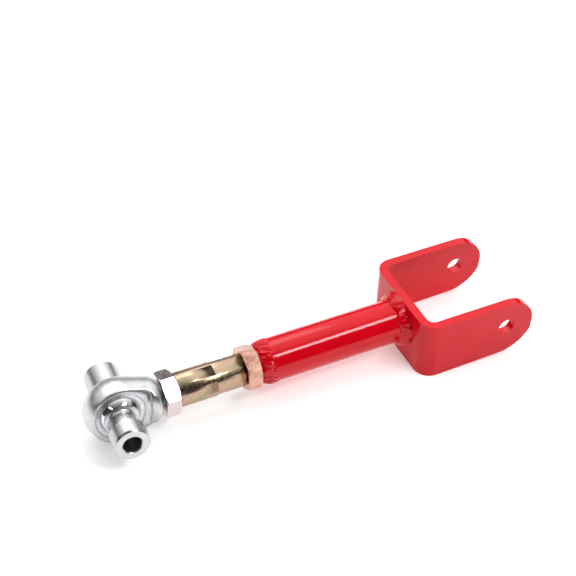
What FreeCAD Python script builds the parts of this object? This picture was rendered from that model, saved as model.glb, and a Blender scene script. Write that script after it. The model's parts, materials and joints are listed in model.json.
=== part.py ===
"""Adjustable rear control arm: clevis bracket, welded tube, threaded adjuster and rod end.

The origin is the centre of the rod end's ball.  +X runs along the arm to the clevis bolt,
Y is the direction of the clevis bolt, and +Z is up.  Lengths are millimetres.  Threads are
modelled as plain cylinders with a small running clearance.
"""
import FreeCAD
import Part
import Sketcher

import math
import os

DRIVING_SIZES = (
    # Whole arm
    ("bolt_distance", 285.75, "ball centre to clevis bolt axis"),
    ("running_gap", 0.05, "radial clearance between a thread or ball and its seat"),
    ("face_gap", 0.1, "clearance between the flat faces of pieces that turn on each other"),
    # Tube, threaded insert and welds
    ("tube_diameter", 31.75, "outer diameter of the tube"),
    ("tube_wall", 3.05, "wall of the tube"),
    ("tube_start", 112.5, "tube's open end, along the arm"),
    ("insert_start", 103.4, "outer face of the threaded insert"),
    ("insert_shoulder_diameter", 25.4, "shoulder of the insert outside the tube"),
    ("insert_end", 142.0, "inner end of the insert"),
    ("insert_weld_start", 104.7, "where the weld starts on the insert's shoulder"),
    ("insert_weld_end", 114.6, "where the weld ends on the tube"),
    ("insert_weld_throat", 0.35, "how far the weld stands over the tube"),
    ("clevis_weld_length", 7.5, "leg of the clevis weld along the tube"),
    ("clevis_weld_height", 5.2, "leg of the clevis weld up the web"),
    # Clevis bracket, bent from one plate
    ("plate_thickness", 6.35, "thickness of the clevis plate"),
    ("clevis_width", 79.4, "outside width over the two ears"),
    ("clevis_depth", 68.0, "web's outer face to the bolt axis"),
    ("ear_top", 21.2, "height of the ears above the bolt axis"),
    ("heel_drop", 26.2, "depth of the bracket's lower edge at the web"),
    ("ear_drop", 24.0, "depth of the lower edge under the bolt axis"),
    ("tip_reach", 21.8, "ear tip beyond the bolt axis"),
    ("tip_straight_drop", 8.5, "lower end of the straight tip edge"),
    ("tip_lower_reach", 13.6, "corner of the lower tip curve beyond the bolt axis"),
    ("tip_top_radius", 21.0, "upper tip curve"),
    ("tip_lower_radius", 27.0, "lower tip curve"),
    ("bend_inner_radius", 5.65, "inside radius of the two bends"),
    ("clevis_hole_diameter", 13.1, "clearance hole for a 12.7 mm bolt"),
    # Threads, nuts and adjuster
    ("thread_diameter", 19.05, "nominal diameter of the right and left hand threads"),
    ("nut_flats", 28.575, "width across the flats of the jam nuts"),
    ("nut_thickness", 10.7, "thickness of the jam nuts"),
    ("nut_chamfer", 1.9, "depth of the corner chamfer of the nuts"),
    ("nut_chamfer_length", 1.1, "length of the corner chamfer of the nuts"),
    ("rod_nut_start", 31.5, "rod end nut's face towards the ball"),
    ("rod_nut_turn", -22.5, "turn of the rod end nut about the arm axis, degrees"),
    ("tube_nut_turn", -32.0, "turn of the tube nut about the arm axis, degrees"),
    ("sleeve_diameter", 25.0, "round bar of the adjuster sleeve"),
    ("sleeve_end", 91.8, "shoulder of the adjuster sleeve towards the tube"),
    ("sleeve_flats", 23.2, "width across the sleeve's wrench flats"),
    ("sleeve_flats_start", 70.5, "where the wrench flats start"),
    ("sleeve_turn", 14.5, "turn of the sleeve about the arm axis, degrees"),
    ("sleeve_chamfer", 1.3, "chamfer of the sleeve's ends"),
    ("sleeve_bore_end", 84.0, "bottom of the sleeve's threaded bore"),
    ("stud_end", 136.0, "end of the sleeve's threaded stud"),
    # Rod end
    ("head_radius", 23.0, "turned spherical head of the rod end"),
    ("head_width", 17.5, "width over the head's milled faces"),
    ("neck_end", 27.4, "end of the tapered neck"),
    ("neck_radius", 15.4, "radius of the neck at its end"),
    ("neck_shoulder_end", 30.2, "end of the rounded shoulder between neck and shank"),
    ("neck_shoulder_radius", 11.0, "radius of the shoulder at its end"),
    ("head_flat_end", 21.5, "where the milled faces start to run out in the neck"),
    ("shank_end", 76.0, "end of the rod end's threaded shank"),
    ("head_roll", -8.0, "roll of the head about the arm axis, degrees"),
    ("race_diameter", 35.2, "outer diameter of the ball race"),
    ("race_width", 15.4, "width of the ball race"),
    ("race_recess_chamfer", 0.9, "chamfer around the race"),
    ("ball_radius", 16.67, "radius of the ball"),
    ("ball_width", 22.2, "width over the ball's flat faces"),
    ("ball_bore_diameter", 19.05, "bore of the ball"),
    # Misalignment spacers
    ("spacer_end", 38.1, "ball centre to the outer face of a spacer"),
    ("spacer_start", 0.4, "ball centre to the inner end of a spacer"),
    ("spacer_diameter", 25.6, "outer barrel of a spacer"),
    ("front_barrel_start", 24.8, "ball centre to the shoulder of the front spacer's barrel"),
    ("rear_barrel_start", 16.4, "ball centre to the shoulder of the rear spacer's longer barrel"),
    ("spacer_neck_diameter", 18.4, "neck between the ball and the barrel"),
    ("spacer_collar_diameter", 23.6, "thin collar that bears on the ball's face"),
    ("spacer_collar_end", 11.75, "outer end of the collar, still inside the ball's sphere"),
    ("spacer_neck_fillet", 2.5, "fillet from the collar down to the neck"),
    ("spacer_chamfer", 1.2, "outer chamfer of the barrel"),
    ("bolt_bore_diameter", 13.1, "clearance bore for a 12.7 mm bolt"),
    ("bolt_bore_chamfer", 0.7, "chamfer of the bolt bore"),
    ("bolt_lift", -5.0, "lift of the front spacer about the arm axis, degrees"),
    ("bolt_swing", -4.8, "swing of the front spacer about the vertical, degrees"),
)

SHEET_NAME = "Dimensions"
AXIS_X = FreeCAD.Vector(1, 0, 0)
AXIS_Z = FreeCAD.Vector(0, 0, 1)

document = FreeCAD.newDocument("ControlArm")


class Size:
    """A number together with the sheet expression that gives it."""

    def __init__(self, value, text):
        self.value = value
        self.text = text

    def __add__(self, other):
        return combined(self, "+", other, self.value + number(other))

    def __sub__(self, other):
        return combined(self, "-", other, self.value - number(other))

    def __mul__(self, other):
        return combined(self, "*", other, self.value * number(other))

    def __truediv__(self, other):
        return combined(self, "/", other, self.value / number(other))

    def __neg__(self):
        return Size(-self.value, f"(-1 * {self.text})")

    def root(self):
        return Size(math.sqrt(self.value), f"sqrt({self.text})")


def number(item):
    return item.value if isinstance(item, Size) else float(item)


def expression(item):
    return item.text if isinstance(item, Size) else f"({float(item)})"


def combined(left, sign, right, value):
    return Size(value, f"({expression(left)} {sign} {expression(right)})")


def make_sheet():
    """Write the driving sizes to the sheet and return each one as a Size."""
    sheet = document.addObject("Spreadsheet::Sheet", SHEET_NAME)
    for row, (name, value, note) in enumerate(DRIVING_SIZES, start=1):
        sheet.set(f"A{row}", name)
        sheet.set(f"B{row}", str(value))
        sheet.set(f"C{row}", note)
        sheet.setAlias(f"B{row}", name)
    document.recompute()
    return {name: Size(float(sheet.get(name)), f"{SHEET_NAME}.{name}") for name, _, _ in DRIVING_SIZES}


size = make_sheet()
nothing = Size(0.0, "(0)")
thread_radius = size["thread_diameter"] / 2
screw_radius = thread_radius - size["running_gap"]
tube_radius = size["tube_diameter"] / 2
tube_bore_radius = tube_radius - size["tube_wall"]
web_face = size["bolt_distance"] - size["clevis_depth"]
sleeve_start = size["rod_nut_start"] + size["nut_thickness"] + size["face_gap"]
tube_nut_start = size["insert_start"] - size["face_gap"] - size["nut_thickness"]


def new_body(label):
    body = document.addObject("PartDesign::Body", label)
    body.Label = label
    return body


def origin_feature(body, role):
    return next(item for item in body.Origin.OriginFeatures if item.Role == role)


def polygon_sketch(body, name, plane, *outlines):
    """Draw closed outlines of straight lines, each corner bound to the sheet."""
    sketch = body.newObject("Sketcher::SketchObject", f"{body.Label}_{name}")
    sketch.AttachmentSupport = [(origin_feature(body, plane), "")]
    sketch.MapMode = "FlatFace"
    for corners in outlines:
        first = sketch.GeometryCount
        points = [FreeCAD.Vector(number(u), number(v), 0) for u, v in corners]
        for index, point in enumerate(points):
            following = points[(index + 1) % len(points)]
            sketch.addGeometry(Part.LineSegment(point, following), False)
        for index, (u, v) in enumerate(corners):
            line = first + index
            before = first + (index - 1) % len(corners)
            sketch.addConstraint(Sketcher.Constraint("Coincident", before, 2, line, 1))
            bind_distance(sketch, "DistanceX", line, u)
            bind_distance(sketch, "DistanceY", line, v)
    return sketch


def bind_distance(sketch, kind, line, item):
    """Fix one coordinate of a line's start point, measured from the sketch's origin."""
    origin_line, origin_point = -1, 1
    limit = Sketcher.Constraint(kind, origin_line, origin_point, line, 1, number(item))
    index = sketch.addConstraint(limit)
    if isinstance(item, Size):
        sketch.setExpression(f"Constraints[{index}]", item.text)


def circle_sketch(body, name, plane, centre, radius):
    """Draw a circle whose centre and radius are bound to the sheet."""
    sketch = body.newObject("Sketcher::SketchObject", f"{body.Label}_{name}")
    sketch.AttachmentSupport = [(origin_feature(body, plane), "")]
    sketch.MapMode = "FlatFace"
    middle = FreeCAD.Vector(number(centre[0]), number(centre[1]), 0)
    sketch.addGeometry(Part.Circle(middle, AXIS_Z, number(radius)), False)
    for kind, item in (("DistanceX", centre[0]), ("DistanceY", centre[1])):
        index = sketch.addConstraint(Sketcher.Constraint(kind, -1, 1, 0, 3, number(item)))
        if isinstance(item, Size):
            sketch.setExpression(f"Constraints[{index}]", item.text)
    index = sketch.addConstraint(Sketcher.Constraint("Radius", 0, number(radius)))
    sketch.setExpression(f"Constraints[{index}]", radius.text)
    return sketch


def turn(body, kind, name, profile):
    """Add or cut material by turning an outline of (along, radius) corners about X."""
    sketch = polygon_sketch(body, name, "XY_Plane", profile)
    feature = body.newObject(kind, f"{body.Label}_{name}_turned")
    feature.Profile = sketch
    feature.ReferenceAxis = (origin_feature(body, "X_Axis"), [""])
    feature.Angle = 360
    document.recompute()
    return feature


def turned_body(label, profile):
    body = new_body(label)
    turn(body, "PartDesign::Revolution", "profile", profile)
    return body


def pocket_through(body, sketch):
    """Cut a sketch right through the body, both ways, and check that it removed material."""
    before = body.Shape.Volume
    pocket = body.newObject("PartDesign::Pocket", f"{sketch.Name}_cut")
    pocket.Profile = sketch
    pocket.Type = "ThroughAll"
    pocket.Midplane = True
    document.recompute()
    if not body.Shape.Volume < before:
        raise RuntimeError(f"{pocket.Name} removed nothing")
    return pocket


def mill_hexagon(body, start, end, across_flats):
    """Mill one flat above the X axis between start and end, and repeat it six times."""
    low = across_flats / 2
    high = size["nut_flats"]
    corners = ((start, low), (end, low), (end, high), (start, high))
    flat = pocket_through(body, polygon_sketch(body, "flat", "XZ_Plane", corners))
    pattern = body.newObject("PartDesign::PolarPattern", f"{body.Label}_flats")
    pattern.Originals = [flat]
    pattern.Axis = (origin_feature(body, "X_Axis"), [""])
    pattern.Angle = 360
    pattern.Occurrences = 6
    body.Tip = pattern
    document.recompute()


def sphere(body, kind, radius):
    """Add or subtract a sphere about the body's own origin."""
    feature = body.newObject(kind, f"{body.Label}_sphere")
    feature.setExpression("Radius", radius.text)
    document.recompute()


def curve_of(edge):
    """The edge's curve, or nothing where it is a degenerate edge such as a sphere's pole."""
    return None if edge.Degenerated else edge.Curve


def edges_where(shape, test):
    return [f"Edge{i}" for i, edge in enumerate(shape.Edges, start=1) if test(edge)]


def dress_edges(body, kind, name, field, amount, test):
    """Fillet or chamfer the edges of the body's last feature that pass the test."""
    base = body.Tip
    names = edges_where(base.Shape, test)
    if not names:
        raise RuntimeError(f"{body.Label}: no edge for {name}")
    feature = body.newObject(kind, f"{body.Label}_{name}")
    feature.Base = (base, names)
    feature.setExpression(field, amount.text)
    document.recompute()


def is_straight_along(edge, axis):
    """Whether an edge is a straight line parallel to the axis."""
    curve = curve_of(edge)
    return isinstance(curve, Part.Line) and abs(abs(curve.Direction.dot(axis)) - 1) < 1e-6


def near(value, target, slack=0.05):
    return abs(value - number(target)) < slack


def roll_about_arm(body, angle):
    """Turn a body about the arm's own axis."""
    body.Placement = FreeCAD.Placement(FreeCAD.Vector(), FreeCAD.Rotation(AXIS_X, angle.value))
    body.setExpression("Placement.Rotation.Angle", angle.text)


def place_on_bolt_axis(body, rear=False):
    """Point a body's own X axis along the tilted bolt axis, to the front or to the rear."""
    side = 90 if rear else -90
    to_bolt = FreeCAD.Rotation(AXIS_Z, side)
    lift = FreeCAD.Rotation(AXIS_X, size["bolt_lift"].value)
    swing = FreeCAD.Rotation(AXIS_Z, size["bolt_swing"].value)
    body.Placement = FreeCAD.Placement(FreeCAD.Vector(), swing.multiply(lift).multiply(to_bolt))


def make_arm_tube():
    return turned_body("arm_tube", (
        (size["tube_start"], tube_bore_radius),
        (web_face, tube_bore_radius),
        (web_face, tube_radius),
        (size["tube_start"], tube_radius),
    ))


def make_threaded_insert():
    """Insert pressed into the tube: a shoulder outside it and a plug inside it."""
    shoulder_radius = size["insert_shoulder_diameter"] / 2
    return turned_body("threaded_insert", (
        (size["insert_start"], thread_radius),
        (size["insert_end"], thread_radius),
        (size["insert_end"], tube_bore_radius),
        (size["tube_start"], tube_bore_radius),
        (size["tube_start"], shoulder_radius),
        (size["insert_start"], shoulder_radius),
    ))


def make_insert_weld():
    """Tapered bead from the insert's shoulder up over the end of the tube."""
    shoulder_radius = size["insert_shoulder_diameter"] / 2
    crown = tube_radius + size["insert_weld_throat"]
    return turned_body("insert_weld", (
        (size["insert_weld_start"], shoulder_radius),
        (size["tube_start"], shoulder_radius),
        (size["tube_start"], tube_radius),
        (size["insert_weld_end"], tube_radius),
        (size["tube_start"], crown),
        (size["insert_weld_start"] + 1, shoulder_radius + 1.2),
    ))


def make_clevis_weld():
    """Fillet bead between the tube and the clevis web."""
    return turned_body("clevis_weld", (
        (web_face - size["clevis_weld_length"], tube_radius),
        (web_face, tube_radius),
        (web_face, tube_radius + size["clevis_weld_height"]),
    ))


def clevis_side_outline():
    """Sharp-cornered side view of the bracket, counted from the web's lower corner."""
    bolt = size["bolt_distance"]
    return (
        (web_face, -size["heel_drop"]),
        (bolt + size["tip_lower_reach"], -size["ear_drop"]),
        (bolt + size["tip_reach"] - 0.5, -size["tip_straight_drop"]),
        (bolt + size["tip_reach"], nothing),
        (bolt + size["tip_reach"], size["ear_top"]),
        (web_face, size["ear_top"]),
    )


def make_clevis_bracket():
    """One plate bent to a U, with shaped ears and a bolt hole through both."""
    body = new_body("clevis_bracket")
    bolt = size["bolt_distance"]
    half = size["clevis_width"] / 2
    inner_half = half - size["plate_thickness"]
    far = bolt + size["tip_reach"] + 10
    web_inside = web_face + size["plate_thickness"]
    strip = polygon_sketch(body, "strip", "XY_Plane", (
        (web_face, -half), (far, -half), (far, -inner_half), (web_inside, -inner_half),
        (web_inside, inner_half), (far, inner_half), (far, half), (web_face, half),
    ))
    pad = body.newObject("PartDesign::Pad", "clevis_strip_pad")
    pad.Profile = strip
    pad.Midplane = True
    pad.setExpression("Length", (size["heel_drop"] * 4).text)
    document.recompute()
    reach = size["heel_drop"] * 3
    frame = (
        (web_face - 5, -reach), (far + 5, -reach), (far + 5, reach), (web_face - 5, reach),
    )
    blank = (web_face - 1, size["ear_top"]), (web_face - 1, -size["heel_drop"])
    outline = clevis_side_outline() + blank
    pocket_through(body, polygon_sketch(body, "outline", "XZ_Plane", frame, outline))
    hole = circle_sketch(body, "bolt_hole", "XZ_Plane", (bolt, nothing), size["clevis_hole_diameter"] / 2)
    pocket_through(body, hole)
    round_clevis(body, half, inner_half, web_inside)
    return body


def round_clevis(body, half, inner_half, web_inside):
    """Round the two bends and the corners of the ear tips."""
    bolt = size["bolt_distance"]
    outer_radius = size["bend_inner_radius"] + size["plate_thickness"]

    def is_bend(along, across):
        return lambda edge: (
            is_straight_along(edge, AXIS_Z)
            and near(edge.CenterOfMass.x, along)
            and near(abs(edge.CenterOfMass.y), across)
        )

    def is_tip_corner(along, height):
        return lambda edge: (
            is_straight_along(edge, FreeCAD.Vector(0, 1, 0))
            and near(edge.CenterOfMass.x, along)
            and near(edge.CenterOfMass.z, height)
        )

    fillet = "PartDesign::Fillet"
    dress_edges(body, fillet, "outer_bends", "Radius", outer_radius, is_bend(web_face, half))
    inner = is_bend(web_inside, inner_half)
    dress_edges(body, fillet, "inner_bends", "Radius", size["bend_inner_radius"], inner)
    top = is_tip_corner(bolt + size["tip_reach"], size["ear_top"])
    dress_edges(body, fillet, "tip_tops", "Radius", size["tip_top_radius"], top)
    lower = is_tip_corner(bolt + size["tip_lower_reach"], -size["ear_drop"])
    dress_edges(body, fillet, "tip_bottoms", "Radius", size["tip_lower_radius"], lower)


def make_jam_nut(label, start, angle):
    """Hexagon nut with chamfered corners and a plain cylinder for its thread."""
    corner_radius = size["nut_flats"] * (1 / math.sqrt(3))
    rim = corner_radius - size["nut_chamfer"]
    end = start + size["nut_thickness"]
    length = size["nut_chamfer_length"]
    mouth = thread_radius + 1
    body = turned_body(label, (
        (start, mouth),
        (start + 1, thread_radius),
        (end - 1, thread_radius),
        (end, mouth),
        (end, rim),
        (end - length, corner_radius),
        (start + length, corner_radius),
        (start, rim),
    ))
    mill_hexagon(body, start - 1, end + 1, size["nut_flats"])
    roll_about_arm(body, angle)
    return body


def make_adjuster_sleeve():
    """Round bar with wrench flats, a threaded bore at one end and a stud at the other."""
    radius = size["sleeve_diameter"] / 2
    chamfer = size["sleeve_chamfer"]
    end = size["sleeve_end"]
    stud_end = size["stud_end"]
    body = turned_body("adjuster_sleeve", (
        (sleeve_start, thread_radius + 1),
        (sleeve_start + 1, thread_radius),
        (size["sleeve_bore_end"], thread_radius),
        (size["sleeve_bore_end"] + 4, nothing),
        (stud_end, nothing),
        (stud_end, screw_radius - 1),
        (stud_end - 1, screw_radius),
        (end, screw_radius),
        (end, radius - chamfer),
        (end - chamfer, radius),
        (sleeve_start + chamfer, radius),
        (sleeve_start, radius - chamfer),
    ))
    mill_hexagon(body, size["sleeve_flats_start"], end + 0.5, size["sleeve_flats"])
    roll_about_arm(body, size["sleeve_turn"])
    return body


def neck_tangent(radius):
    """Where the straight neck touches the spherical head."""
    along = size["neck_end"]
    high = size["neck_radius"]
    distance_squared = along * along + high * high
    share = radius * radius / distance_squared
    sideways = radius * (distance_squared - radius * radius).root() / distance_squared
    return along * share - high * sideways, high * share + along * sideways


def make_rod_end_body():
    """Turned head, neck and threaded shank, milled flat on both sides and bored for the race."""
    body = new_body("rod_end_body")
    touch_along, touch_radius = neck_tangent(size["head_radius"])
    shank_end = size["shank_end"]
    turn(body, "PartDesign::Revolution", "profile", (
        (nothing, nothing),
        (shank_end, nothing),
        (shank_end, screw_radius - 1.2),
        (shank_end - 1.2, screw_radius),
        (size["neck_shoulder_end"] + 0.6, screw_radius),
        (size["neck_shoulder_end"], size["neck_shoulder_radius"]),
        (size["neck_shoulder_end"] - 1.3, size["neck_shoulder_radius"] + 2.9),
        (size["neck_end"], size["neck_radius"]),
        (touch_along, touch_radius),
    ))
    sphere(body, "PartDesign::AdditiveSphere", size["head_radius"])
    mill_head_faces(body)
    bore_radius = size["race_diameter"] / 2
    pocket_through(body, circle_sketch(body, "bore", "XZ_Plane", (nothing, nothing), bore_radius))

    def is_bore_rim(edge):
        curve = curve_of(edge)
        return isinstance(curve, Part.Circle) and near(curve.Radius, bore_radius, 0.01)

    chamfer = size["race_recess_chamfer"]
    dress_edges(body, "PartDesign::Chamfer", "bore_chamfer", "Size", chamfer, is_bore_rim)
    roll_about_arm(body, size["head_roll"])
    return body


def mill_head_faces(body):
    """Cut both sides of the head flat, with the faces sloping out before the neck's end."""
    half = size["head_width"] / 2
    outside = size["head_radius"] + 2
    run_out = size["head_flat_end"]
    rise = size["head_radius"] - half

    def side(sign):
        return (
            (-outside, half * sign),
            (run_out, half * sign),
            (run_out + rise * 0.8, outside * sign),
            (-outside, outside * sign),
        )

    pocket_through(body, polygon_sketch(body, "faces", "XY_Plane", side(1), side(-1)))


def make_ball_race():
    """Ring held in the head, with a spherical seat for the ball."""
    half = size["race_width"] / 2
    outer = size["race_diameter"] / 2
    inner = size["ball_bore_diameter"] / 2
    body = turned_body("ball_race", ((-half, inner), (half, inner), (half, outer), (-half, outer)))
    sphere(body, "PartDesign::SubtractiveSphere", size["ball_radius"] + size["running_gap"])
    roll = FreeCAD.Rotation(AXIS_X, size["head_roll"].value)
    across = FreeCAD.Rotation(AXIS_Z, -90)
    body.Placement = FreeCAD.Placement(FreeCAD.Vector(), roll.multiply(across))
    return body


def make_rod_end_ball():
    """Truncated ball bored for the spacers."""
    body = new_body("rod_end_ball")
    radius = size["ball_radius"]
    sphere(body, "PartDesign::AdditiveSphere", radius)
    face = size["ball_width"] / 2
    bore = size["ball_bore_diameter"] / 2
    outside = radius + 2
    groove = "PartDesign::Groove"
    turn(body, groove, "front_face", (
        (face, nothing), (outside, nothing), (outside, outside), (face, outside),
    ))
    turn(body, groove, "rear_face", (
        (-face, nothing), (-outside, nothing), (-outside, outside), (-face, outside),
    ))
    turn(body, groove, "bore", (
        (-face - 1, nothing), (face + 1, nothing), (face + 1, bore), (-face - 1, bore),
    ))
    place_on_bolt_axis(body)
    return body


def make_spacer(label, rear):
    """High-misalignment spacer: pilot in the ball, collar, neck and outer barrel."""
    pilot = size["ball_bore_diameter"] / 2 - size["running_gap"]
    bolt = size["bolt_bore_diameter"] / 2
    barrel = size["spacer_diameter"] / 2
    neck = size["spacer_neck_diameter"] / 2
    collar = size["spacer_collar_diameter"] / 2
    ball_face = size["ball_width"] / 2 + size["face_gap"]
    collar_end = size["spacer_collar_end"]
    shoulder = size["rear_barrel_start" if rear else "front_barrel_start"]
    end = size["spacer_end"]
    chamfer = size["spacer_chamfer"]
    mouth = size["bolt_bore_chamfer"]
    body = turned_body(label, (
        (size["spacer_start"], bolt),
        (end - mouth, bolt),
        (end, bolt + mouth),
        (end, barrel - chamfer),
        (end - chamfer, barrel),
        (shoulder + 0.8, barrel),
        (shoulder, barrel - 0.8),
        (shoulder, neck + 1),
        (shoulder - 1, neck),
        (collar_end, neck),
        (collar_end, collar),
        (ball_face, collar),
        (ball_face, pilot),
        (size["spacer_start"], pilot),
    ))

    def is_neck_root(edge):
        curve = curve_of(edge)
        return (isinstance(curve, Part.Circle) and near(curve.Radius, neck)
                and near(curve.Center.x, collar_end))

    dress_edges(body, "PartDesign::Fillet", "neck_root", "Radius", size["spacer_neck_fillet"],
                is_neck_root)
    place_on_bolt_axis(body, rear)
    return body


def check_document(bodies):
    """Stop if any feature failed or any body has no valid single solid."""
    for item in document.Objects:
        if "Invalid" in item.State or "Error" in item.State:
            raise RuntimeError(f"{item.Name} failed: {item.State}")
    for body in bodies:
        shape = body.Shape
        if shape.isNull() or not shape.isValid() or len(shape.Solids) != 1:
            raise RuntimeError(f"{body.Label} isn't one valid solid")


def write_parts(bodies):
    os.makedirs("parts", exist_ok=True)
    for body in bodies:
        body.Shape.exportStep(f"parts/{body.Label}.step")
        box = body.Shape.BoundBox
        print(f"{body.Label:18s} volume {body.Shape.Volume:9.0f}  X {box.XMin:7.2f} {box.XMax:7.2f}"
              f"  Y {box.YMin:7.2f} {box.YMax:7.2f}  Z {box.ZMin:7.2f} {box.ZMax:7.2f}")


parts = (
    make_arm_tube(),
    make_threaded_insert(),
    make_insert_weld(),
    make_clevis_weld(),
    make_clevis_bracket(),
    make_jam_nut("tube_jam_nut", tube_nut_start, size["tube_nut_turn"]),
    make_adjuster_sleeve(),
    make_jam_nut("rod_end_jam_nut", size["rod_nut_start"], size["rod_nut_turn"]),
    make_rod_end_body(),
    make_ball_race(),
    make_rod_end_ball(),
    make_spacer("front_spacer", rear=False),
    make_spacer("rear_spacer", rear=True),
)
document.recompute()
check_document(parts)
write_parts(parts)
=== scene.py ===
"""Looks for the adjustable control arm: powder-coated tube and clevis, plated adjuster and nuts,
satin rod end with a chromed ball and turned spacers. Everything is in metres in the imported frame:
+X from the ball to the clevis bolt, +Y along the clevis bolt, +Z up, origin at the ball's centre."""

import json
import math
import random

import bmesh
import bpy
from mathutils import Matrix, Vector, noise


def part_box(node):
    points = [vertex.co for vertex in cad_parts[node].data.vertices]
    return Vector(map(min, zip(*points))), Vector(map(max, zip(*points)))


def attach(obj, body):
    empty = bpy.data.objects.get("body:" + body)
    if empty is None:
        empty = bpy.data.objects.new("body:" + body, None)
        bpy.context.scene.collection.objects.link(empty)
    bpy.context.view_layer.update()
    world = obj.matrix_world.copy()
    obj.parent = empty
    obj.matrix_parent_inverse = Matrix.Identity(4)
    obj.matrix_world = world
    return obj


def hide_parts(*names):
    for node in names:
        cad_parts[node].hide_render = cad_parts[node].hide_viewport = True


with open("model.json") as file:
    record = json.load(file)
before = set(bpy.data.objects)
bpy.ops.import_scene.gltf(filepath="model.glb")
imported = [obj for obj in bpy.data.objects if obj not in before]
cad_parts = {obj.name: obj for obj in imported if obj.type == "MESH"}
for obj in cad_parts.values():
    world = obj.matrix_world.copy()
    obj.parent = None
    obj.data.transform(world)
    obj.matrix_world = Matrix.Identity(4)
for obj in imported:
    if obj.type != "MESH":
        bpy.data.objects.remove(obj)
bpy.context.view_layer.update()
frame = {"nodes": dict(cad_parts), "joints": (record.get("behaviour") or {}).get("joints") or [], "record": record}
NODES = frame["nodes"]
MM = 0.001
X_AXIS = Vector((1, 0, 0))

# Threads: 3/4-16, so a pitch of 1/16 in.
THREAD_MAJOR_RADIUS = 9.525 * MM
THREAD_PITCH = 25.4 / 16 * MM
THREAD_DEPTH = 0.613 * THREAD_PITCH
THREAD_SEGMENTS = 96
ROWS_PER_PITCH = 12
ROOT_SHARE = 0.22  # of the pitch, the flat at the bottom of the groove
CREST_SHARE = 0.16  # of the pitch, the flat on top of the thread
THREAD_LEAD_IN = 1.2 * MM  # the chamfer at a thread's free end

# Weld beads.
BEAD_ROWS = 300  # round the ring
BEAD_COLUMNS = 14  # from toe to top
BEAD_SUNK = 1.2 * MM  # how deep the bead's hidden side lies in the metal
COIN_WANDER = 0.28  # of a coin, how unevenly the coins follow each other
COIN_BOW = 0.55  # of a coin, how far the ripples bow
EDGE_WANDER = 0.16  # of the bead's width, how far its edges stray
INSERT_BEAD_LEAD = 0.2 * MM  # how far the insert's bead starts before its CAD solid

# Where the CAD solids are cut to give way to threads.
NECK_GAP = 0.65 * MM  # from the end of the rod end's neck to its jam nut
SLEEVE_SHOULDER = 91.8 * MM  # where the sleeve's barrel ends and its stud begins
CUT_ALLOWANCE = 0.01 * MM  # keeps the cut off the shoulder's own face
MERGE_DISTANCE = 0.002 * MM  # vertices closer than this are one

FLOOR_HALF = 3.0  # half the floor's side
HEEL_INSET = 6 * MM  # from the clevis's end to where its heel meets the floor

# The bolt axis through ball and spacers, from front to rear, as the record states it.
BOLT_AXIS = Vector(
    next(j["axis"] for j in frame["joints"] if j["name"] == "bolt_spin")
).normalized()


# ---------------------------------------------------------------- meshes

def mesh_object(name, bm, body, stands_for=()):
    """A new piece from a bmesh, riding on a body and standing for CAD nodes."""
    mesh = bpy.data.meshes.new(name)
    bm.to_mesh(mesh)
    bm.free()
    obj = bpy.data.objects.new(name, mesh)
    bpy.context.scene.collection.objects.link(obj)
    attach(obj, body)
    if stands_for:
        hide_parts(*stands_for)
    return obj


def shade(obj, sharp_degrees):
    """Smooth shading, with edges kept sharp where faces meet at more than this angle."""
    obj.data.polygons.foreach_set("use_smooth", [True] * len(obj.data.polygons))
    obj.data.set_sharp_from_angle(angle=math.radians(sharp_degrees))


def bridge_rings(bm, rings, closed=False):
    """Faces between neighbouring rings of vertices; closed joins the last ring to the first."""
    pairs = list(zip(rings, rings[1:]))
    if closed:
        pairs.append((rings[-1], rings[0]))
    for ring, following in pairs:
        count = len(ring)
        for i in range(count):
            j = (i + 1) % count
            bm.faces.new((ring[i], ring[j], following[j], following[i]))


def cap_ring(bm, ring, centre):
    """A fan that closes one end."""
    hub = bm.verts.new(centre)
    count = len(ring)
    for i in range(count):
        bm.faces.new((ring[i], ring[(i + 1) % count], hub))


def finish_solid(bm):
    bmesh.ops.recalc_face_normals(bm, faces=bm.faces)


def groove_depth(phase):
    """How deep the thread is cut at a share of one pitch, from 0 on the crest to 1 at the root."""
    away = abs(phase - 0.5) * 2
    flank = (1 - away - CREST_SHARE) / (1 - CREST_SHARE - ROOT_SHARE)
    return min(1.0, max(0.0, flank))


def thread(bm, x_start, x_end, hand):
    """A threaded rod along X with a chamfer at x_end; hand is +1 for right-hand."""
    rows = max(2, round((x_end - x_start) / THREAD_PITCH * ROWS_PER_PITCH))
    rings = []
    for row in range(rows + 1):
        x = x_start + (x_end - x_start) * row / rows
        chamfer = max(0.0, THREAD_LEAD_IN - (x_end - x))
        ring = []
        for i in range(THREAD_SEGMENTS):
            turn = i / THREAD_SEGMENTS
            phase = ((x - x_start) / THREAD_PITCH + hand * turn) % 1
            radius = THREAD_MAJOR_RADIUS - THREAD_DEPTH * groove_depth(phase)
            radius = min(radius, THREAD_MAJOR_RADIUS - chamfer)
            angle = 2 * math.pi * turn
            place = (x, radius * math.cos(angle), radius * math.sin(angle))
            ring.append(bm.verts.new(place))
        rings.append(ring)
    bridge_rings(bm, rings)
    cap_ring(bm, rings[0], (x_start, 0, 0))
    cap_ring(bm, rings[-1], (x_end, 0, 0))
    finish_solid(bm)


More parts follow.
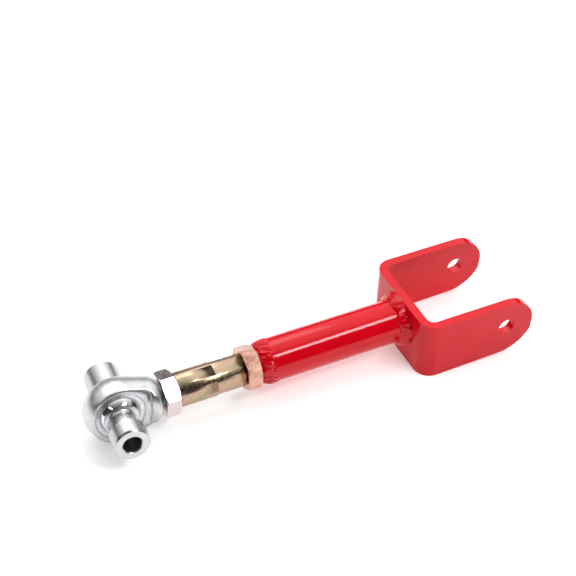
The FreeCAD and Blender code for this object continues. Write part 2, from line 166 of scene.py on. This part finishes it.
def weld_bead(bm, toe, top, crown, coins, roughness, seed):
    """A weld ring round the X axis.

    toe and top are (x, radius) where the bead meets the two metals, crown is its height, coins
    the number of ripples round the ring, and roughness how unevenly its edges run.
    """
    wander = random.Random(seed).uniform(0, 50)
    span = Vector((top[0] - toe[0], top[1] - toe[1]))
    out = Vector((-span.y, span.x)).normalized()
    if out.y < 0:
        out = -out
    rings = []
    for i in range(BEAD_ROWS):
        angle = 2 * math.pi * i / BEAD_ROWS
        spot = Vector((math.cos(angle) * 3, math.sin(angle) * 3, wander))
        coin_shift = COIN_WANDER * noise.noise(spot * 0.9)
        low = roughness * noise.noise(spot * 1.3 + Vector((0, 0, 7)))
        high = roughness * noise.noise(spot * 1.6 + Vector((0, 0, 21)))
        section = []
        for step in range(BEAD_COLUMNS + 1):
            t = step / BEAD_COLUMNS
            bow = 1 - (2 * t - 1) ** 2
            phase = (coins * i / BEAD_ROWS + coin_shift + COIN_BOW * bow) % 1
            ripple = 0.45 + 0.55 * (1 - phase) ** 0.7
            lump = 1 + 0.6 * noise.noise(spot * 2.1 + Vector((t * 2, 0, 3)))
            height = crown * bow ** 0.6 * ripple * lump
            along = t + (low * (1 - t) + high * t) * EDGE_WANDER
            section.append(Vector(toe) + span * along + out * height)
        section.append(Vector(top) - out * BEAD_SUNK)
        section.append(Vector(toe) - out * BEAD_SUNK)
        ring = []
        for point in section:
            place = (point.x, point.y * math.cos(angle), point.y * math.sin(angle))
            ring.append(bm.verts.new(place))
        rings.append(ring)
    bridge_rings(bm, rings, closed=True)
    finish_solid(bm)


def trimmed_copy(node, x_cut):
    """The CAD node's mesh without what lies beyond x_cut, closed there."""
    bm = bmesh.new()
    bm.from_mesh(NODES[node].data)
    bmesh.ops.remove_doubles(bm, verts=bm.verts, dist=MERGE_DISTANCE)
    geometry = bm.verts[:] + bm.edges[:] + bm.faces[:]
    cut = bmesh.ops.bisect_plane(
        bm, geom=geometry, plane_co=(x_cut, 0, 0), plane_no=X_AXIS, clear_outer=True
    )
    rim = [e for e in cut["geom_cut"] if isinstance(e, bmesh.types.BMEdge)]
    bmesh.ops.triangle_fill(bm, edges=rim, use_beauty=True)
    bm.normal_update()
    return bm


# ---------------------------------------------------------------- materials

class Graph:
    """A material's node graph, with short calls for the nodes that these materials share."""

    def __init__(self, name):
        self.material = bpy.data.materials.new(name)
        self.material.use_nodes = True
        self.tree = self.material.node_tree
        self.tree.nodes.clear()
        self.shader = self.tree.nodes.new("ShaderNodeBsdfPrincipled")
        output = self.tree.nodes.new("ShaderNodeOutputMaterial")
        self.link(self.shader.outputs[0], output.inputs[0])
        self.place = self.tree.nodes.new("ShaderNodeTexCoord").outputs["Object"]

    def link(self, source, target):
        self.tree.links.new(source, target)

    def noise(self, scale, detail=2.0, stretch=None, roughness=0.5):
        """Noise with features about 1/scale metres across; stretch scales the axes first."""
        node = self.tree.nodes.new("ShaderNodeTexNoise")
        node.inputs["Scale"].default_value = scale
        node.inputs["Detail"].default_value = detail
        node.inputs["Roughness"].default_value = roughness
        source = self.place
        if stretch:
            source = self.stretched(stretch)
        self.link(source, node.inputs["Vector"])
        return node.outputs[0]

    def stretched(self, factors):
        """Object coordinates with each axis scaled by its factor."""
        node = self.tree.nodes.new("ShaderNodeMapping")
        node.inputs["Scale"].default_value = factors
        self.link(self.place, node.inputs["Vector"])
        return node.outputs[0]

    def rings(self, axis, scale, detail=3.0):
        """Noise that changes only along an axis: the grooves that a lathe leaves."""
        dot = self.tree.nodes.new("ShaderNodeVectorMath")
        dot.operation = "DOT_PRODUCT"
        dot.inputs[1].default_value = axis
        self.link(self.place, dot.inputs[0])
        node = self.tree.nodes.new("ShaderNodeTexNoise")
        node.noise_dimensions = "1D"
        node.inputs["Scale"].default_value = scale
        node.inputs["Detail"].default_value = detail
        self.link(dot.outputs["Value"], node.inputs["W"])
        return node.outputs[0]

    def away(self, centre):
        """Distance in metres from a point."""
        node = self.tree.nodes.new("ShaderNodeVectorMath")
        node.operation = "DISTANCE"
        node.inputs[1].default_value = centre
        self.link(self.place, node.inputs[0])
        return node.outputs["Value"]

    def ramp(self, source, stops):
        """Colours along a factor; stops are (position, (r, g, b))."""
        node = self.tree.nodes.new("ShaderNodeValToRGB")
        elements = node.color_ramp.elements
        while len(elements) > 1:
            elements.remove(elements[-1])
        for i, (position, colour) in enumerate(stops):
            element = elements[0] if i == 0 else elements.new(position)
            element.position = position
            element.color = (*colour, 1)
        self.link(source, node.inputs[0])
        return node.outputs[0]

    def spread(self, source, low, high, start=0.3, end=0.7):
        """A number from low to high as the source goes from start to end."""
        node = self.tree.nodes.new("ShaderNodeMapRange")
        node.inputs["From Min"].default_value = start
        node.inputs["From Max"].default_value = end
        node.inputs["To Min"].default_value = low
        node.inputs["To Max"].default_value = high
        self.link(source, node.inputs["Value"])
        return node.outputs[0]

    def bump(self, source, height, strength=1.0, below=None):
        """Raises the surface by height metres where the source is 1."""
        node = self.tree.nodes.new("ShaderNodeBump")
        node.inputs["Distance"].default_value = height
        node.inputs["Strength"].default_value = strength
        self.link(source, node.inputs["Height"])
        if below is not None:
            self.link(below, node.inputs["Normal"])
        return node.outputs[0]

    def set(self, **values):
        for name, value in values.items():
            self.shader.inputs[name.replace("_", " ")].default_value = value

    def drive(self, name, source):
        self.link(source, self.shader.inputs[name])


def red_powder_coat():
    """Gloss red powder coat with fine orange peel and a slight mottle."""
    graph = Graph("red_powder_coat")
    mottle = graph.noise(45, detail=3)
    graph.drive("Base Color", graph.ramp(mottle, [
        (0.30, (0.60, 0.0008, 0.008)),
        (0.70, (0.66, 0.0011, 0.011)),
    ]))
    graph.drive("Roughness", graph.spread(graph.noise(260, detail=2), 0.05, 0.08))
    peel = graph.noise(620, detail=1.5)
    graph.drive("Normal", graph.bump(peel, 0.012 * MM, 0.5))
    graph.set(IOR=1.45, Specular_IOR_Level=0.34)
    return graph.material


def zinc(name, stops, roughness):
    """Chromated zinc: a cloudy tinge over fine turning marks and the plating's grain."""
    graph = Graph(name)
    tinge = graph.noise(95, detail=4, stretch=(0.6, 1, 1), roughness=0.6)
    graph.drive("Base Color", graph.ramp(tinge, stops))
    graph.drive("Roughness", graph.spread(graph.noise(400, detail=3), *roughness))
    marks = graph.rings(X_AXIS, 2600, detail=2)
    grain = graph.noise(1500, detail=2)
    grained = graph.bump(grain, 0.006 * MM, 0.5)
    graph.drive("Normal", graph.bump(marks, 0.010 * MM, 0.5, below=grained))
    graph.set(Metallic=1.0)
    return graph.material


def yellow_zinc():
    """Yellow chromate on the sleeve: tan with pink and green tinges."""
    return zinc("yellow_zinc", [
        (0.30, (0.34, 0.28, 0.18)),
        (0.44, (0.42, 0.33, 0.21)),
        (0.54, (0.45, 0.31, 0.22)),
        (0.64, (0.48, 0.31, 0.25)),
        (0.76, (0.40, 0.33, 0.21)),
    ], (0.20, 0.32))


def rose_zinc():
    """The same chromate on the tube nut, where it came out rosier."""
    return zinc("rose_zinc", [
        (0.32, (0.42, 0.21, 0.16)),
        (0.46, (0.55, 0.30, 0.23)),
        (0.58, (0.66, 0.38, 0.30)),
        (0.72, (0.48, 0.31, 0.22)),
    ], (0.20, 0.30))


def clear_zinc():
    """Bright clear zinc on the front nut, with a faint pink cast."""
    return zinc("clear_zinc", [
        (0.30, (0.60, 0.53, 0.55)),
        (0.50, (0.70, 0.62, 0.62)),
        (0.72, (0.74, 0.62, 0.60)),
    ], (0.15, 0.25))


def satin_plated_steel():
    """The forged and ground rod end: satin plate with a fine cloudy grain."""
    graph = Graph("satin_plated_steel")
    cloud = graph.noise(130, detail=4, roughness=0.6)
    graph.drive("Base Color", graph.ramp(cloud, [
        (0.30, (0.52, 0.52, 0.53)),
        (0.55, (0.61, 0.61, 0.62)),
        (0.78, (0.68, 0.68, 0.69)),
    ]))
    graph.drive("Roughness", graph.spread(graph.noise(500, detail=4), 0.28, 0.42))
    graph.drive("Normal", graph.bump(graph.noise(1800, detail=3), 0.010 * MM, 0.6))
    graph.set(Metallic=1.0)
    return graph.material


def race_steel():
    """The hardened race pressed into the head."""
    graph = Graph("race_steel")
    graph.drive("Base Color", graph.ramp(graph.noise(180, detail=3), [
        (0.30, (0.50, 0.51, 0.53)),
        (0.70, (0.66, 0.67, 0.69)),
    ]))
    graph.drive("Roughness", graph.spread(graph.noise(600, detail=3), 0.20, 0.32))
    graph.drive("Normal", graph.bump(graph.noise(1600, detail=2), 0.006 * MM, 0.5))
    graph.set(Metallic=1.0)
    return graph.material


def ball_chrome():
    """Polished chrome, with barely visible handling haze."""
    graph = Graph("ball_chrome")
    haze = graph.noise(140, detail=4)
    graph.drive("Base Color", graph.ramp(haze, [
        (0.30, (0.68, 0.68, 0.69)),
        (0.70, (0.76, 0.76, 0.77)),
    ]))
    graph.drive("Roughness", graph.spread(haze, 0.04, 0.09))
    graph.set(Metallic=1.0)
    return graph.material


def turned_steel():
    """Lathe-turned steel, satin across its feed marks, with rings round the bolt axis."""
    graph = Graph("turned_steel")
    rings = graph.rings(BOLT_AXIS, 2400, detail=3)
    graph.drive("Base Color", graph.ramp(rings, [
        (0.30, (0.45, 0.45, 0.46)),
        (0.70, (0.58, 0.58, 0.59)),
    ]))
    graph.drive("Roughness", graph.spread(graph.noise(350, detail=3), 0.26, 0.34))
    graph.drive("Normal", graph.bump(rings, 0.012 * MM, 0.6))
    graph.set(Metallic=1.0)
    return graph.material


MAKERS = (
    red_powder_coat, yellow_zinc, rose_zinc, clear_zinc, satin_plated_steel, race_steel, ball_chrome,
    turned_steel,
)
MATERIALS = {maker.__name__: maker() for maker in MAKERS}


def paint(obj, slot_name):
    obj.data.materials.clear()
    obj.data.materials.append(MATERIALS[slot_name])


def paint_cad_nodes():
    """Each CAD node takes the material of its slot in the record, but the tube nut is rosier."""
    for part in frame["record"]["subparts"]:
        paint(NODES[part["node"]], part["material_slot"])
    paint(NODES["tube_jam_nut"], "rose_zinc")


# ---------------------------------------------------------------- pieces that stand for CAD nodes

def make_rod_end():
    """The head with its neck, and the threaded shank behind it."""
    shank_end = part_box("rod_end_body")[1].x
    neck_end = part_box("rod_end_jam_nut")[0].x - NECK_GAP
    head = mesh_object("rod_end_head", trimmed_copy("rod_end_body", neck_end), "rod_end",
                       ["rod_end_body"])
    shade(head, 30)
    paint(head, "satin_plated_steel")
    bm = bmesh.new()
    thread(bm, neck_end - THREAD_PITCH, shank_end, 1)
    shank = mesh_object("rod_end_thread", bm, "rod_end")
    shade(shank, 50)
    paint(shank, "satin_plated_steel")


def make_sleeve():
    """The adjuster's barrel, and the left-hand threaded stud on its end."""
    stud_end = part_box("adjuster_sleeve")[1].x
    cut = trimmed_copy("adjuster_sleeve", SLEEVE_SHOULDER - CUT_ALLOWANCE)
    barrel = mesh_object("adjuster_barrel", cut, "sleeve", ["adjuster_sleeve"])
    shade(barrel, 30)
    paint(barrel, "yellow_zinc")
    bm = bmesh.new()
    thread(bm, SLEEVE_SHOULDER - THREAD_PITCH, stud_end, -1)
    stud = mesh_object("adjuster_thread", bm, "sleeve")
    shade(stud, 50)
    paint(stud, "yellow_zinc")


def make_insert_weld():
    """A hand-laid bead from the insert's shoulder up to the tube's full diameter.

    Known fault: its crown reaches up to 0.31 mm into the tube nut's rear face.
    """
    shoulder_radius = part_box("threaded_insert")[1].y
    tube_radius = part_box("arm_tube")[1].y
    low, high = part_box("insert_weld")
    bm = bmesh.new()
    weld_bead(bm, (low.x - INSERT_BEAD_LEAD, shoulder_radius), (high.x, tube_radius),
              crown=1.5 * MM, coins=17, roughness=1.4, seed=3)
    bead = mesh_object("insert_weld_bead", bm, "arm", ["insert_weld"])
    shade(bead, 60)
    paint(bead, "red_powder_coat")


def make_clevis_weld():
    """The fillet bead that joins the tube to the clevis web."""
    tube_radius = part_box("arm_tube")[1].y
    low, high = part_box("clevis_weld")
    bm = bmesh.new()
    weld_bead(bm, (low.x, tube_radius), (high.x, high.y),
              crown=0.55 * MM, coins=22, roughness=2.0, seed=8)
    bead = mesh_object("clevis_weld_bead", bm, "arm", ["clevis_weld"])
    shade(bead, 60)
    paint(bead, "red_powder_coat")


# ---------------------------------------------------------------- stage, lights and camera

LIT_POINT = Vector((0.14, 0, 0))  # what the lamps look at, near the middle of the arm


def make_floor():
    """A plain white floor under the head's rim and the clevis's heel, with painted light: it glows faintly to lift
    its shadows, and its colour and glow fade further from the arm as a painted pool of light.
    """
    head_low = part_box("rod_end_body")[0].z
    heel_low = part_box("clevis_bracket")[0].z
    heel_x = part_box("clevis_bracket")[0].x + HEEL_INSET
    slope = (heel_low - head_low) / heel_x
    bm = bmesh.new()
    corners = [(FLOOR_HALF * x, FLOOR_HALF * y) for x, y in ((-1, -1), (1, -1), (1, 1), (-1, 1))]
    bm.faces.new([bm.verts.new((x, y, head_low + slope * x)) for x, y in corners])
    mesh = bpy.data.meshes.new("floor")
    bm.to_mesh(mesh)
    bm.free()
    floor = bpy.data.objects.new("floor", mesh)
    bpy.context.scene.collection.objects.link(floor)
    graph = Graph("floor_white_painted_glow")
    # Painted pool of light: the base colour darkens and the painted glow fades with distance from the point the
    # lamps look at.
    away = graph.away((LIT_POINT.x, 0, 0))
    graph.drive("Base Color", graph.ramp(away, [
        (0.65, (0.91, 0.92, 0.92)),
        (1.00, (0.84, 0.84, 0.84)),
    ]))
    # Painted glow, standing in for light, that lifts the floor's shadows.
    graph.drive("Emission Strength", graph.spread(away, 0.30, 0.15, start=0.65, end=1.1))
    graph.set(Roughness=0.7, Specular_IOR_Level=0.2, Emission_Color=(1, 1, 1, 1))
    mesh.materials.append(graph.material)


def aim(obj, location, target, roll_degrees=0.0):
    """Places a lamp or camera so that it looks at the target."""
    turn = (target - location).to_track_quat("-Z", "Y").to_matrix().to_4x4()
    roll = Matrix.Rotation(math.radians(roll_degrees), 4, "Z")
    obj.matrix_world = Matrix.Translation(location) @ turn @ roll


def softbox(name, direction, distance, size, radiance):
    """A rectangular lamp that looks at the arm from a direction, as bright as radiance."""
    width, height = size
    light = bpy.data.lights.new(name, "AREA")
    light.shape = "RECTANGLE"
    light.size, light.size_y = size
    light.energy = radiance * math.pi * width * height
    obj = bpy.data.objects.new(name, light)
    bpy.context.scene.collection.objects.link(obj)
    aim(obj, LIT_POINT + Vector(direction).normalized() * distance, LIT_POINT)


class Studio:
    """The room round the table, as soft patches of light on a dim sky."""

    def __init__(self, dimmest):
        world = bpy.data.worlds.new("studio")
        bpy.context.scene.world = world
        world.use_nodes = True
        self.tree = world.node_tree
        self.tree.nodes.clear()
        output = self.tree.nodes.new("ShaderNodeOutputWorld")
        self.background = self.tree.nodes.new("ShaderNodeBackground")
        self.tree.links.new(self.background.outputs[0], output.inputs[0])
        self.place = self.tree.nodes.new("ShaderNodeTexCoord").outputs["Generated"]
        self.total = None
        self.dimmest = dimmest

    def darken_horizon(self, low_degrees, high_degrees):
        """Fades all patches out from the higher elevation down to the lower one.

        It comes after the last patch and sets how bright the sky is.
        """
        axes = self.tree.nodes.new("ShaderNodeSeparateXYZ")
        self.tree.links.new(self.place, axes.inputs[0])
        fade = self.tree.nodes.new("ShaderNodeMapRange")
        fade.interpolation_type = "SMOOTHSTEP"
        fade.inputs["From Min"].default_value = math.sin(math.radians(low_degrees))
        fade.inputs["From Max"].default_value = math.sin(math.radians(high_degrees))
        self.tree.links.new(axes.outputs["Z"], fade.inputs["Value"])
        product = self.tree.nodes.new("ShaderNodeMath")
        product.operation = "MULTIPLY_ADD"
        product.inputs[2].default_value = self.dimmest
        self.tree.links.new(self.total, product.inputs[0])
        self.tree.links.new(fade.outputs[0], product.inputs[1])
        self.tree.links.new(product.outputs[0], self.background.inputs["Strength"])

    def patch(self, direction, inner_degrees, outer_degrees, radiance):
        """Light of this radiance within inner_degrees of a direction, fading out at outer_degrees."""
        dot = self.tree.nodes.new("ShaderNodeVectorMath")
        dot.operation = "DOT_PRODUCT"
        dot.inputs[1].default_value = Vector(direction).normalized()
        self.tree.links.new(self.place, dot.inputs[0])
        fade = self.tree.nodes.new("ShaderNodeMapRange")
        fade.interpolation_type = "SMOOTHSTEP"
        fade.inputs["From Min"].default_value = math.cos(math.radians(outer_degrees))
        fade.inputs["From Max"].default_value = math.cos(math.radians(inner_degrees))
        fade.inputs["To Min"].default_value = 0
        fade.inputs["To Max"].default_value = radiance
        self.tree.links.new(dot.outputs["Value"], fade.inputs["Value"])
        total = self.tree.nodes.new("ShaderNodeMath")
        total.operation = "ADD"
        total.inputs[1].default_value = 0
        if self.total is not None:
            self.tree.links.new(self.total, total.inputs[1])
        self.tree.links.new(fade.outputs[0], total.inputs[0])
        self.total = total.outputs[0]


def make_lights():
    studio = Studio(dimmest=0.06)
    studio.patch((0.10, 0.75, 0.60), inner_degrees=40, outer_degrees=80, radiance=1.15)
    studio.patch((0.85, 0.25, 0.45), inner_degrees=20, outer_degrees=60, radiance=0.8)
    studio.patch((0.0, 0.0, 1.0), inner_degrees=10, outer_degrees=50, radiance=0.30)
    studio.darken_horizon(low_degrees=10, high_degrees=26)
    softbox("key", (0.344, -0.477, 0.808), distance=0.95, size=(0.46, 0.17), radiance=18.0)
    softbox("left", (-0.688, -0.305, 0.657), distance=1.04, size=(0.26, 0.09), radiance=8.0)
    softbox("rear", (-0.05, 0.62, 0.78), distance=1.2, size=(1.1, 0.6), radiance=2.2)


def make_camera():
    """The view from above the ball end, looking along the arm."""
    looks_at = Vector((0.1600, 0.0625, 0))
    distance, azimuth, elevation, roll = 1.1748, -27.626, 42.077, 2.305
    turn, lift = math.radians(azimuth), math.radians(elevation)
    back = Vector((math.sin(turn) * math.cos(lift), -math.cos(turn) * math.cos(lift), math.sin(lift)))
    data = bpy.data.cameras.new("camera")
    data.lens = 99.53
    data.sensor_width = 36
    data.clip_start, data.clip_end = 0.05, 20
    camera = bpy.data.objects.new("camera", data)
    bpy.context.scene.collection.objects.link(camera)
    aim(camera, looks_at + back * distance, looks_at, roll)
    bpy.context.scene.camera = camera


paint_cad_nodes()
make_rod_end()
make_sleeve()
make_insert_weld()
make_clevis_weld()
make_floor()
make_lights()
make_camera()
bpy.context.scene.view_settings.view_transform = "Standard"

bpy.context.view_layer.update()
